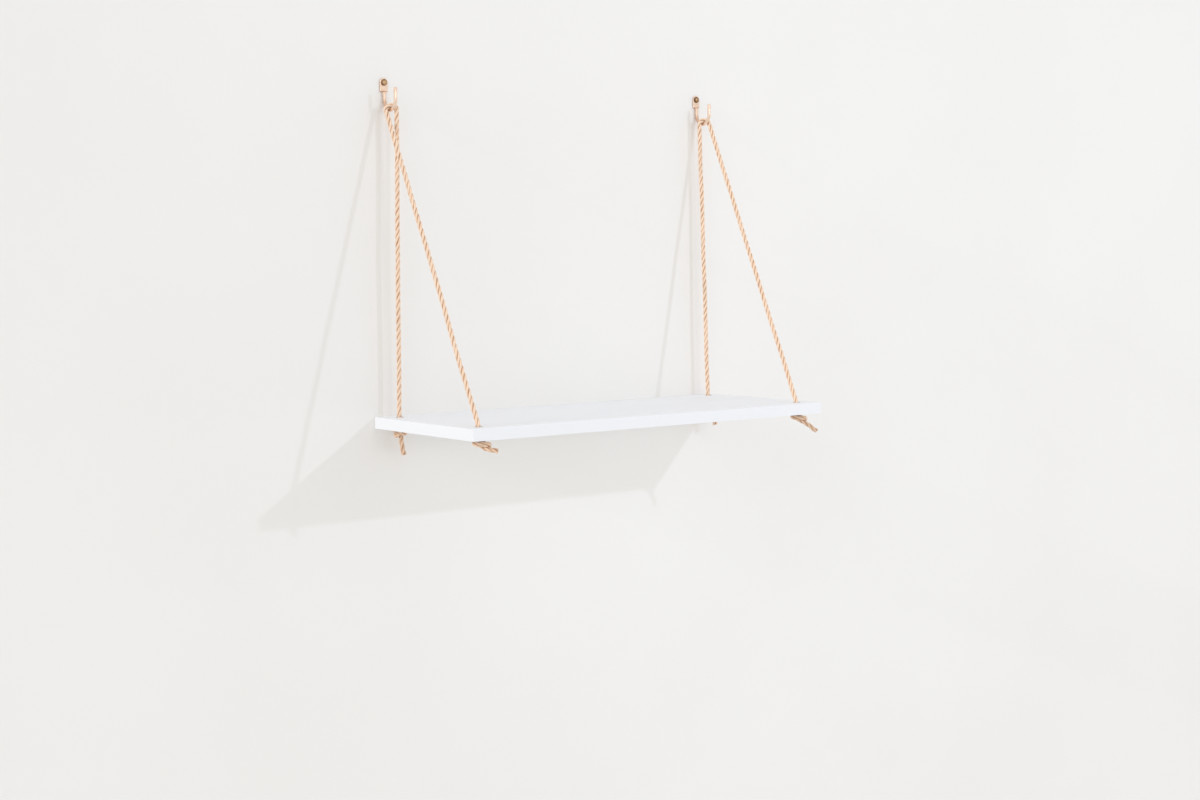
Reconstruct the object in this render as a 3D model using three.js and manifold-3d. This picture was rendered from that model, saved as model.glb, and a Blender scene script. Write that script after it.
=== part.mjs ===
// Hanging shelf: a board slung on two ropes from a pair of flattened-end wire wall hooks.
// Units are millimetres. X runs along the board, -Y points out from the wall and Z is up.
// The origin is on the wall's face, midway between the two hook screws.

import * as THREE from 'three';
import { mergeVertices } from 'three/addons/utils/BufferGeometryUtils.js';
import Module from 'manifold-3d';

const wasm = await Module();
wasm.setup();

// Board
const boardLength = 600;
const boardDepth = 250;
const boardThickness = 16;
const boardArris = 0.8;
const boardDrop = 455; // from the screws' centres down to the board's top face
const holeInset = 25; // from the board's end and from its long edge to a hole's centre
const holeLip = 0.6; // eased edge round each hole, above and below
const arrisSteps = 2;

// Rope
const ropeDiameter = 6;
const holeClearance = 2; // free space all round the rope in its hole
const bightLead = 8; // rope below the wire that still moves with the bight
const swayGap = 0.9; // between a bight and its run, room for the sideways sway
const hangGap = 0.5; // between a run and the rope in its hole, room for the board to stay level
const hangHeight = 1.5; // height of that joint above the board
const runStep = 18;
const knotStep = 2.6;
const ropeSides = 12;
const knotSides = 8;

// Wire hook, its upper end hammered flat into a plate
const wireDiameter = 5;
const plateWidth = 12.2;
const plateThickness = 1.6;
const plateCorner = 0.5;
const plateTail = 11.3; // from the screw's centre down to the plate's shoulders
const neckLength = 2.7; // from the shoulders to the round wire
const shankLength = 9.5; // round wire above the bend
const hookReach = 32; // from the wall to the centre of the tip arm
const tipLength = 14.5; // straight tip arm above the bend
const tipRound = 1.2; // rounding of the cut end
const quarterPoints = 5;
const crownStations = 6;
const neckStations = 4;
const bendStations = 18;
const tipStations = 3;
const crownStartAngle = 76;

// Where the rope sits on the bend, in degrees from its lowest point towards the tip
const wallSideSeat = -7;
const tipSideSeat = 29;
const seatStations = 12;

// Round-head screw
const screwHeadDiameter = 9;
const screwHeadHeight = 2.9;
const screwHeadRim = 0.5;
const screwShankDiameter = 4.2;
const screwLength = 30;
const screwPointLength = 5;
const screwRecessSpan = 5;
const screwRecessWidth = 1.3;
const screwRecessDepth = 1.5;
const screwSegments = 24;
const domeSteps = 5;

// Wall plug
const plugDiameter = 7;
const plugLength = 30;
const plugCollarLength = 3;
const plugBarbDepth = 0.5;
const plugBarbPitch = 3.6;
const plugSlotWidth = 1;
const plugSlotLength = 19;
const plugSegments = 20;

// Clearances
const seatGap = 0.3; // between pieces that rest on each other
const cutOverrun = 1; // how far a cutting form passes through what it cuts

// Overhand knot under the board, in rope diameters from the knot's centre. The rope comes
// down the hole's axis, loops round itself and leaves downwards beside the axis.
const knotShares = [
  [0, 0, 0.7], [0, 0.4, -0.25], [0.65, 1.08, -0.62], [1.65, 1.08, -0.6], [2.28, 0.25, -0.35],
  [1.92, -0.72, 0], [0.95, -1.05, 0], [0, -1.05, 0], [-0.95, -0.6, 0.1], [-1.1, 0.4, 0.45],
  [-0.4, 1.15, 0.65], [0.7, 0.97, 0.62], [1.1, 0.2, 0], [1.08, -0.05, -0.85],
];
const knotSeatShare = 1.26; // knot's centre below the board, less the gap, in rope diameters

// Each knot: the side and row of its hole, its turn about the hole and its tail's points
const knots = [
  {
    side: 'left', row: 'back', turn: 54,
    tailShares: [[1.1, -0.1, -1.7], [1.05, -0.3, -3.2], [1, -0.6, -4.95]],
  },
  {
    side: 'left', row: 'front', turn: -36,
    tailShares: [[1.5, -0.1, -1.42], [2.4, -0.13, -1.5], [3.95, -0.17, -1.4]],
  },
  {
    side: 'right', row: 'back', turn: -20,
    tailShares: [[1.15, -0.05, -1.6], [1.45, 0, -2.75], [1.8, 0.05, -3.9]],
  },
  {
    side: 'right', row: 'front', turn: -36,
    tailShares: [[1.45, -0.1, -1.42], [2.5, -0.15, -1.8], [4.75, -0.2, -3.35]],
  },
];

// Places worked out from the sizes
const holeDiameter = ropeDiameter + 2 * holeClearance;
const holeSpacing = boardLength - 2 * holeInset;
const holeRows = { back: -holeInset, front: -(boardDepth - holeInset) };
const boardBottom = -boardDrop - boardThickness;
const hangLevel = -boardDrop + hangHeight;
const bendRadius = (hookReach - wireDiameter / 2) / 2;
const bendCentreY = -wireDiameter / 2 - bendRadius;
const bendCentreZ = -plateTail - neckLength - shankLength;
const seatRadius = wireDiameter / 2 + seatGap + ropeDiameter / 2;

// The wall-side leg of each rope hangs on the wire's left, the tip-side leg on its right.
// On the left hook the two legs cross on their way to the holes, on the right they do not.
const sides = [
  { name: 'left', x: -holeSpacing / 2, wallSideRow: 'front', tipSideRow: 'back' },
  { name: 'right', x: holeSpacing / 2, wallSideRow: 'back', tipSideRow: 'front' },
];

const vec = (x, y, z) => new THREE.Vector3(x, y, z);
const radians = THREE.MathUtils.degToRad;
const lerp = THREE.MathUtils.lerp;

// Finishes, one new material for each piece
const finishes = {
  copper: { color: 0xc98a6b, roughness: 0.32, metalness: 1 },
  brass: { color: 0x9a6a48, roughness: 0.38, metalness: 1 },
  nylon: { color: 0xb9bcbe, roughness: 0.6, metalness: 0 },
  rope: { color: 0xd9bda0, roughness: 0.95, metalness: 0 },
  whiteBoard: { color: 0xeceded, roughness: 0.5, metalness: 0 },
};

function piece(name, geometry, finish) {
  const mesh = new THREE.Mesh(geometry, new THREE.MeshStandardMaterial(finishes[finish]));
  mesh.name = name;
  return mesh;
}

// A closed geometry as a solid, with shared corners and no collapsed triangles
function solidOf(geometry) {
  const bare = geometry.clone();
  bare.deleteAttribute('normal');
  bare.deleteAttribute('uv');
  const merged = mergeVertices(bare);
  const index = Array.from(merged.index.array);
  const kept = [];
  for (let i = 0; i < index.length; i += 3) {
    const [a, b, c] = index.slice(i, i + 3);
    if (a !== b && b !== c && c !== a) kept.push(a, b, c);
  }
  return new wasm.Manifold(new wasm.Mesh({
    numProp: 3,
    vertProperties: merged.attributes.position.array,
    triVerts: new Uint32Array(kept),
  }));
}

function geometryOf(solid) {
  const mesh = solid.getMesh();
  const geometry = new THREE.BufferGeometry();
  geometry.setAttribute('position', new THREE.BufferAttribute(mesh.vertProperties, 3));
  geometry.setIndex(new THREE.BufferAttribute(mesh.triVerts, 1));
  geometry.computeVertexNormals();
  return geometry;
}

function cut(geometry, cutters) {
  const solids = cutters.map(solidOf);
  return geometryOf(solids.reduce((solid, cutter) => solid.subtract(cutter), solidOf(geometry)));
}

// Revolved form about Y, from [radius, y] pairs
function turned(profile, segments) {
  return new THREE.LatheGeometry(profile.map(([r, y]) => new THREE.Vector2(r, y)), segments);
}

// Rope: a round section swept along a curve
function ropeTube(curve, sideCount, steps) {
  const section = [];
  for (let i = 0; i < sideCount; i++) {
    const angle = (i / sideCount) * Math.PI * 2;
    section.push(new THREE.Vector2(Math.cos(angle), Math.sin(angle)).multiplyScalar(ropeDiameter / 2));
  }
  return new THREE.ExtrudeGeometry(new THREE.Shape(section), {
    steps, extrudePath: curve, bevelEnabled: false,
  });
}

// Board with eased edges and four rope holes
function boardGeometry() {
  const halfLength = boardLength / 2 - boardArris;
  const near = -boardDepth + boardArris;
  const far = -boardArris;
  const outline = new THREE.Shape([
    new THREE.Vector2(-halfLength, near), new THREE.Vector2(halfLength, near),
    new THREE.Vector2(halfLength, far), new THREE.Vector2(-halfLength, far),
  ]);
  const slab = new THREE.ExtrudeGeometry(outline, {
    depth: boardThickness - 2 * boardArris,
    bevelSize: boardArris, bevelThickness: boardArris, bevelSegments: arrisSteps,
  });
  slab.translate(0, 0, boardBottom + boardArris);
  const lip = holeDiameter / 2 + holeLip + cutOverrun;
  const bore = turned([
    [0, -cutOverrun], [lip, -cutOverrun], [holeDiameter / 2, holeLip],
    [holeDiameter / 2, boardThickness - holeLip], [lip, boardThickness + cutOverrun],
    [0, boardThickness + cutOverrun],
  ], screwSegments);
  bore.rotateX(Math.PI / 2);
  bore.translate(0, 0, boardBottom);
  const bores = sides.flatMap(({ x }) => Object.values(holeRows).map(
    (y) => bore.clone().translate(x, y, 0),
  ));
  return cut(slab, bores);
}

// One station of the hook: a rounded rectangle set across the wire. The four corners carry
// the same number of points, so that the flat plate runs into the round wire.
function station(y, z, bend, width, thickness, corner) {
  const points = [];
  const half = Math.PI / (4 * quarterPoints);
  const radius = corner / Math.cos(half);
  for (let i = 0; i < 4 * quarterPoints; i++) {
    const angle = (2 * i + 1) * half;
    const across = Math.sign(Math.cos(angle)) * (width / 2 - corner) + radius * Math.cos(angle);
    const inward = Math.sign(Math.sin(angle)) * (thickness / 2 - corner) + radius * Math.sin(angle);
    points.push(vec(across, y - inward * Math.cos(bend), z + inward * Math.sin(bend)));
  }
  return points;
}

// Skin over a row of stations, closed at both ends
function loft(stations) {
  const count = stations[0].length;
  const positions = stations.flatMap((points) => points.flatMap((p) => [p.x, p.y, p.z]));
  const index = [];
  for (let i = 0; i + 1 < stations.length; i++) {
    for (let j = 0; j < count; j++) {
      const a = i * count + j;
      const b = i * count + (j + 1) % count;
      index.push(a, b, b + count, a, b + count, a + count);
    }
  }
  const last = (stations.length - 1) * count;
  for (let j = 1; j + 1 < count; j++) {
    index.push(0, j + 1, j, last, last + j, last + j + 1);
  }
  const geometry = new THREE.BufferGeometry();
  geometry.setAttribute('position', new THREE.Float32BufferAttribute(positions, 3));
  geometry.setIndex(index);
  return geometry;
}

// Hook: round-topped plate, shoulders, shank, half-circle bend and tip arm, in one wire
function hookGeometry() {
  const wireRadius = wireDiameter / 2;
  const stations = [];
  for (let i = 0; i < crownStations; i++) {
    const angle = radians(crownStartAngle * (1 - i / crownStations));
    const width = plateWidth * Math.cos(angle);
    const z = (plateWidth / 2) * Math.sin(angle);
    stations.push(station(-plateThickness / 2, z, 0, width, plateThickness, plateCorner));
  }
  for (const z of [0, -plateTail]) {
    stations.push(station(-plateThickness / 2, z, 0, plateWidth, plateThickness, plateCorner));
  }
  for (let i = 1; i <= neckStations; i++) {
    const along = i / neckStations;
    const ease = THREE.MathUtils.smoothstep(along, 0, 1);
    const thickness = lerp(plateThickness, wireDiameter, ease);
    stations.push(station(
      -thickness / 2, -plateTail - neckLength * along, 0,
      lerp(plateWidth, wireDiameter, ease), thickness, lerp(plateCorner, wireRadius, ease),
    ));
  }
  for (let i = 0; i <= bendStations; i++) {
    const bend = (i / bendStations) * Math.PI;
    stations.push(station(
      bendCentreY + bendRadius * Math.cos(bend), bendCentreZ - bendRadius * Math.sin(bend),
      bend, wireDiameter, wireDiameter, wireRadius,
    ));
  }
  for (let i = 0; i <= tipStations; i++) {
    const angle = (i / tipStations) * Math.PI / 2;
    const radius = wireRadius - tipRound * (1 - Math.cos(angle));
    const z = bendCentreZ + tipLength - tipRound * (1 - Math.sin(angle));
    stations.push(station(-hookReach, z, Math.PI, 2 * radius, 2 * radius, radius));
  }
  const boreRadius = screwShankDiameter / 2 + seatGap;
  const bore = new THREE.CylinderGeometry(
    boreRadius, boreRadius, plateThickness + 2 * cutOverrun, screwSegments,
  );
  bore.translate(0, -plateThickness / 2, 0);
  return cut(loft(stations), [bore]);
}

// Screw along +Y: domed head with a cross recess, plain shank and point
function screwGeometry() {
  const headRadius = screwHeadDiameter / 2;
  const shankRadius = screwShankDiameter / 2;
  const seat = -plateThickness - seatGap;
  const top = seat - screwHeadHeight;
  const dome = screwHeadHeight - screwHeadRim;
  const profile = [];
  for (let i = 0; i <= domeSteps; i++) {
    const angle = (i / domeSteps) * Math.PI / 2;
    profile.push([headRadius * Math.sin(angle), top + dome * (1 - Math.cos(angle))]);
  }
  profile.push(
    [headRadius, seat], [shankRadius, seat],
    [shankRadius, seat + screwLength - screwPointLength], [0, seat + screwLength],
  );
  const arm = screwRecessSpan / 2;
  const slot = screwRecessWidth / 2;
  const cross = new THREE.Shape([
    [arm, -slot], [arm, slot], [slot, slot], [slot, arm], [-slot, arm], [-slot, slot],
    [-arm, slot], [-arm, -slot], [-slot, -slot], [-slot, -arm], [slot, -arm], [slot, -slot],
  ].map(([x, y]) => new THREE.Vector2(x, y)));
  const recess = new THREE.ExtrudeGeometry(cross, {
    depth: screwRecessDepth + cutOverrun, bevelEnabled: false,
  });
  recess.rotateX(-Math.PI / 2);
  recess.translate(0, top - cutOverrun, 0);
  return cut(turned(profile, screwSegments), [recess]);
}

// Wall plug along +Y: collar, rings of barbs and a slot that lets the far end spread
function plugGeometry() {
  const outer = plugDiameter / 2;
  const bore = screwShankDiameter / 2 + seatGap;
  const profile = [[bore, seatGap], [outer, seatGap], [outer, seatGap + plugCollarLength]];
  const barbs = Math.floor((plugLength - plugCollarLength) / plugBarbPitch);
  const pitch = (plugLength - plugCollarLength) / barbs;
  for (let i = 0; i < barbs; i++) {
    const start = seatGap + plugCollarLength + i * pitch;
    profile.push([outer - plugBarbDepth, start + pitch / 2], [outer, start + pitch]);
  }
  profile.push([bore, seatGap + plugLength], [bore, seatGap]);
  const slot = new THREE.BoxGeometry(
    plugSlotWidth, plugSlotLength + cutOverrun, plugDiameter + 2 * cutOverrun,
  );
  slot.translate(0, seatGap + plugLength - (plugSlotLength - cutOverrun) / 2, 0);
  return cut(turned(profile, plugSegments), [slot]);
}

// Centre of the rope on the wire: round is the angle round the wire, from -90 degrees on its
// left to 90 on its right, and along is the place on the bend
function seatPoint(x, round, along) {
  const r = bendRadius - seatRadius * Math.cos(round);
  return vec(
    x + seatRadius * Math.sin(round),
    bendCentreY - r * Math.sin(along), bendCentreZ - r * Math.cos(along),
  );
}

// A leg of rope from its side of the wire to its hole: where it starts and its direction
function ropeLeg(side, round) {
  const tipSide = round > 0;
  const row = tipSide ? side.tipSideRow : side.wallSideRow;
  const start = seatPoint(side.x, round, radians(tipSide ? tipSideSeat : wallSideSeat));
  const end = vec(side.x, holeRows[row], hangLevel);
  const direction = end.clone().sub(start).normalize();
  const at = (distance) => start.clone().addScaledVector(direction, distance);
  return { row, start, end, at };
}

// Bight: the rope over the wire, with a short straight lead down each leg
function bightGeometry(side) {
  const legs = [-Math.PI / 2, Math.PI / 2].map((round) => ropeLeg(side, round));
  const straight = bightLead - ropeDiameter;
  const points = [legs[0].at(bightLead), legs[0].at(straight)];
  for (let i = 0; i <= seatStations; i++) {
    const round = (i / seatStations - 1 / 2) * Math.PI;
    const share = (1 + Math.sin(round)) / 2;
    points.push(seatPoint(side.x, round, radians(lerp(wallSideSeat, tipSideSeat, share))));
  }
  points.push(legs[1].at(straight), legs[1].at(bightLead));
  return ropeTube(new THREE.CatmullRomCurve3(points), ropeSides, 2 * seatStations);
}

// Run: the straight rope of one leg, cut level just above its hole
function runGeometry(leg) {
  const start = leg.at(bightLead + swayGap);
  const length = leg.start.distanceTo(leg.end) + ropeDiameter;
  const tube = ropeTube(new THREE.LineCurve3(start, leg.at(length)), ropeSides,
    Math.round(length / runStep));
  const block = new THREE.BoxGeometry(4 * ropeDiameter, 4 * ropeDiameter, 4 * ropeDiameter);
  block.translate(leg.end.x, leg.end.y, hangLevel + hangGap / 2 - 2 * ropeDiameter);
  return cut(tube, [block]);
}

// Knot: the rope in its hole, the overhand knot that the board rests on and its cut tail
function knotCurve(knot) {
  const centre = boardBottom - seatGap - knotSeatShare * ropeDiameter;
  const stubTop = hangLevel - hangGap / 2 - centre;
  const stub = [vec(0, 0, stubTop), vec(0, 0, stubTop - ropeDiameter), vec(0, 0, 2 * ropeDiameter)];
  const rest = [...knotShares, ...knot.tailShares].map(
    (shares) => vec(...shares).multiplyScalar(ropeDiameter),
  );
  return { centre, curve: new THREE.CatmullRomCurve3([...stub, ...rest]) };
}

// Least free space between two places of one rope that lie apart along it
function leastSelfGap(curve) {
  const length = curve.getLength();
  const count = Math.ceil(length);
  const points = curve.getSpacedPoints(count);
  const apart = Math.ceil((2 * ropeDiameter * count) / length);
  let least = Infinity;
  for (let i = 0; i + apart <= count; i++) {
    for (let j = i + apart; j <= count; j++) {
      least = Math.min(least, points[i].distanceTo(points[j]));
    }
  }
  return least - ropeDiameter;
}

const shelf = new THREE.Group();
shelf.name = 'hanging_rope_shelf';

shelf.add(piece('board', boardGeometry(), 'whiteBoard'));

for (const side of sides) {
  const fixing = new THREE.Group();
  fixing.position.x = side.x;
  fixing.add(piece(`hook_${side.name}`, hookGeometry(), 'copper'));
  fixing.add(piece(`hook_screw_${side.name}`, screwGeometry(), 'brass'));
  fixing.add(piece(`wall_plug_${side.name}`, plugGeometry(), 'nylon'));
  shelf.add(fixing);

  shelf.add(piece(`rope_${side.name}_bight`, bightGeometry(side), 'rope'));
  for (const round of [-Math.PI / 2, Math.PI / 2]) {
    const leg = ropeLeg(side, round);
    shelf.add(piece(`rope_${side.name}_${leg.row}_run`, runGeometry(leg), 'rope'));
  }
}

for (const knot of knots) {
  const { centre, curve } = knotCurve(knot);
  const steps = Math.round(curve.getLength() / knotStep);
  const name = `knot_${knot.side}_${knot.row}`;
  const mesh = piece(name, ropeTube(curve, knotSides, steps), 'rope');
  mesh.position.set(sides.find((side) => side.name === knot.side).x, holeRows[knot.row], centre);
  mesh.rotation.z = radians(knot.turn);
  shelf.add(mesh);
  console.log(`${name} least gap to itself ${leastSelfGap(curve).toFixed(2)} mm`);
}

export default shelf;
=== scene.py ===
"""Dresses the frame of a hanging rope shelf: white board, laid ropes and their knots,
copper wire hooks, round-head screws and wall plugs, in a plain pale studio."""

import logging
import math
import random
from dataclasses import dataclass
from enum import Enum
from typing import Any, Optional, Sequence, Union

import bmesh
import bpy
import numpy as np
from mathutils import Matrix, Vector


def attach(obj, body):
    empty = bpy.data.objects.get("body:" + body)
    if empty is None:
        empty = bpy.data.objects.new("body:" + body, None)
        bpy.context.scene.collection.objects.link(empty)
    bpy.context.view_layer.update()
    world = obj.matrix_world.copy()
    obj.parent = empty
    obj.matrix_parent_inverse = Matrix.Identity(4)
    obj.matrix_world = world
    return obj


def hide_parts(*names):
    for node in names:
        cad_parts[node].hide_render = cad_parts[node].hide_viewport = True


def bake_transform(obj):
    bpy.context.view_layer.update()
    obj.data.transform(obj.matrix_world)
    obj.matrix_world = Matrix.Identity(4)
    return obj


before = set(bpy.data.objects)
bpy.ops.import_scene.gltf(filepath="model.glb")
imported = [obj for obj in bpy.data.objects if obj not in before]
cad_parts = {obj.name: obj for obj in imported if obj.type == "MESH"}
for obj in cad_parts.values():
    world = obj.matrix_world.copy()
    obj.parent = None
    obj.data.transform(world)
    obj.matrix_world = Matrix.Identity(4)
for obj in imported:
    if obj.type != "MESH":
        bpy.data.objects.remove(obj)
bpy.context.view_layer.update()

log = logging.getLogger("shelf")

# What several classes share: two sizes in metres, and the name of the ropes' surface map
HANG_X = 0.275
HOLE_RADIUS = 0.0050
LAY_MAP = "lay"

Colour = tuple[float, float, float]
Point = tuple[float, float, float]
Span = tuple[float, float]
Number = Union["Signal", float]
Socket = bpy.types.NodeSocket
Piece = bpy.types.Object


class Side(Enum):
    """The two hangings, by the sign of X."""

    LEFT = -1
    RIGHT = 1


class Row(Enum):
    """The two rows of holes, by their Y in metres."""

    BACK = -0.025
    FRONT = -0.225


class Axis(Enum):
    """The way that a turned form's axis runs."""

    INTO_WALL = "Y"
    UP = "Z"


# Shader maths


class Signal:
    """A number that varies over a surface. Python maths on it adds Math nodes."""

    def __init__(self, graph: "Graph", socket: Socket) -> None:
        """Wraps an output socket of the graph."""
        self.graph = graph
        self.socket = socket

    def calc(self, operation: str, *values: Number) -> "Signal":
        """Adds one Math node.

        Args:
            operation: the Math node's operation.
            values: what it works on, links or plain numbers.

        Returns:
            The node's result.
        """
        made = self.graph.node("ShaderNodeMath", {"operation": operation}, dict(enumerate(values)))
        return Signal(self.graph, made.outputs[0])

    def __add__(self, other: Number) -> "Signal":
        """self + other."""
        return self.calc("ADD", self, other)

    def __radd__(self, other: float) -> "Signal":
        """other + self."""
        return self.calc("ADD", other, self)

    def __sub__(self, other: Number) -> "Signal":
        """self - other."""
        return self.calc("SUBTRACT", self, other)

    def __rsub__(self, other: float) -> "Signal":
        """other - self."""
        return self.calc("SUBTRACT", other, self)

    def __mul__(self, other: Number) -> "Signal":
        """self * other."""
        return self.calc("MULTIPLY", self, other)

    def __rmul__(self, other: float) -> "Signal":
        """other * self."""
        return self.calc("MULTIPLY", other, self)

    def __pow__(self, other: float) -> "Signal":
        """self to a power."""
        return self.calc("POWER", self, other)

    def __abs__(self) -> "Signal":
        """Size without sign."""
        return self.calc("ABSOLUTE", self)

    def sin(self) -> "Signal":
        """Sine, of radians."""
        return self.calc("SINE", self)

    def cos(self) -> "Signal":
        """Cosine, of radians."""
        return self.calc("COSINE", self)

    def least(self, other: Number) -> "Signal":
        """The smaller of the two."""
        return self.calc("MINIMUM", self, other)

    def most(self, other: Number) -> "Signal":
        """The larger of the two."""
        return self.calc("MAXIMUM", self, other)

    def ramp(self, low: float, high: float) -> "Signal":
        """Smooth step.

        Args:
            low: value that gives 0.
            high: value that gives 1, below low for a falling step.

        Returns:
            A number from 0 to 1.
        """
        down = high < low
        made = self.graph.node(
            "ShaderNodeMapRange",
            {"interpolation_type": "SMOOTHSTEP"},
            {0: self, 1: min(low, high), 2: max(low, high), 3: float(down), 4: float(not down)},
        )
        return Signal(self.graph, made.outputs[0])


def weighed(signals: Sequence[Signal], shares: Sequence[float]) -> Signal:
    """Sum of signals, each times its share.

    Args:
        signals: what is added up.
        shares: their shares, in the same order.

    Returns:
        The sum.
    """
    terms = [signal * share for signal, share in zip(signals, shares)]
    return sum(terms[1:], terms[0])


@dataclass(frozen=True)
class Mark:
    """How a pattern shows: the value at which it starts, where it is full, and its share."""

    start: float
    full: float
    share: float = 1.0

    def on(self, signal: Signal) -> Signal:
        """The pattern's part in a mask."""
        made = signal.ramp(self.start, self.full)
        return made if self.share == 1 else made * self.share


@dataclass(frozen=True)
class Pattern:
    """Cloudy noise: features per unit, octaves, the weight of the finer ones, and what the
    place is multiplied by first, if it is."""

    scale: float = 1.0
    octaves: float = 3.0
    weight: float = 0.55
    stretch: Optional[Point] = None


@dataclass(frozen=True)
class Relief:
    """How patterns stand out: the share of each, the bump's strength and its depth in metres."""

    shares: tuple[float, ...]
    strength: float
    depth: float


class Graph:
    """The node tree of one material or of the world."""

    def __init__(self, tree: bpy.types.NodeTree) -> None:
        """Empties the tree."""
        self.tree = tree
        tree.nodes.clear()

    def node(
        self,
        kind: str,
        settings: Optional[dict[str, Any]] = None,
        inputs: Optional[dict[Union[str, int], Any]] = None,
    ) -> bpy.types.Node:
        """Adds one node: its settings first, then its sockets.

        Args:
            kind: the node's type.
            settings: attributes by name.
            inputs: socket names or numbers, each with a value or a link.

        Returns:
            The new node.
        """
        made = self.tree.nodes.new(kind)
        for name, value in (settings or {}).items():
            setattr(made, name, value)
        for name, value in (inputs or {}).items():
            socket = made.inputs[name]
            if isinstance(value, Signal):
                value = value.socket
            if isinstance(value, Socket):
                self.tree.links.new(value, socket)
            elif socket.type == "RGBA" and len(value) == 3:
                socket.default_value = (*value, 1)
            else:
                socket.default_value = value
        return made

    def place(self) -> Socket:
        """Object coordinates, which are metres in the part's own frame."""
        return self.node("ShaderNodeTexCoord").outputs["Object"]

    def axes(self, vector: Socket) -> tuple[Signal, Signal, Signal]:
        """A vector's three numbers."""
        parts = self.node("ShaderNodeSeparateXYZ", inputs={0: vector}).outputs
        return Signal(self, parts[0]), Signal(self, parts[1]), Signal(self, parts[2])

    def vector(self, *parts: Number) -> Socket:
        """A vector from up to three numbers."""
        return self.node("ShaderNodeCombineXYZ", inputs=dict(enumerate(parts))).outputs[0]

    def stretched(self, vector: Socket, scale: Point) -> Socket:
        """A vector multiplied by a constant along each axis."""
        made = self.node("ShaderNodeVectorMath", {"operation": "MULTIPLY"}, {0: vector, 1: scale})
        return made.outputs[0]

    def noise(self, vector: Socket, plan: Pattern) -> Signal:
        """Cloudy variation.

        Args:
            vector: where it is read.
            plan: its scale and make-up.

        Returns:
            A number round 0.5.
        """
        inputs = {
            "Vector": self.stretched(vector, plan.stretch) if plan.stretch else vector,
            "Scale": plan.scale, "Detail": plan.octaves, "Roughness": plan.weight,
        }
        return Signal(self, self.node("ShaderNodeTexNoise", inputs=inputs).outputs[0])

    def dents(self, vector: Socket, scale: float) -> Signal:
        """Rounded cells, 0 at each cell's centre.

        Args:
            vector: where they are read.
            scale: cells per metre.

        Returns:
            The distance from the cell's centre.
        """
        made = self.node(
            "ShaderNodeTexVoronoi", {"feature": "SMOOTH_F1"}, {"Vector": vector, "Scale": scale}
        )
        return Signal(self, made.outputs[0])

    def mix(self, share: Number, first: Any, second: Any) -> Socket:
        """Blends two colours.

        Args:
            share: 0 for the first colour, 1 for the second.
            first: colour or link.
            second: colour or link.

        Returns:
            The blended colour.
        """
        made = self.node(
            "ShaderNodeMix", {"data_type": "RGBA"}, {0: share, 6: first, 7: second}
        )
        return made.outputs[2]

    def bump(self, plan: Relief, *patterns: Signal) -> Socket:
        """A normal from patterns.

        Args:
            plan: the share of each pattern, and how far they stand out.
            patterns: numbers from about 0 to 1.

        Returns:
            The normal.
        """
        height = weighed(patterns, plan.shares)
        made = self.node("ShaderNodeBump", inputs={
            "Strength": plan.strength, "Distance": plan.depth, "Height": height})
        return made.outputs[0]


# Finishes


@dataclass(frozen=True)
class Finish:
    """A surface finish. Subclasses wire what varies over it."""

    name: str = "finish"

    def wire(self, graph: Graph) -> dict[str, Any]:
        """Values and links for the main shader's sockets, by name."""
        raise NotImplementedError

    def surface(self, graph: Graph) -> Socket:
        """The shader that the surface shows."""
        return graph.node("ShaderNodeBsdfPrincipled", inputs=self.wire(graph)).outputs[0]

    def material(self) -> bpy.types.Material:
        """The finish's material, made once.

        Returns:
            The material.
        """
        found = bpy.data.materials.get(self.name)
        if found:
            return found
        made = bpy.data.materials.new(self.name)
        made.use_nodes = True
        graph = Graph(made.node_tree)
        graph.node("ShaderNodeOutputMaterial", inputs={"Surface": self.surface(graph)})
        return made


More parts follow.
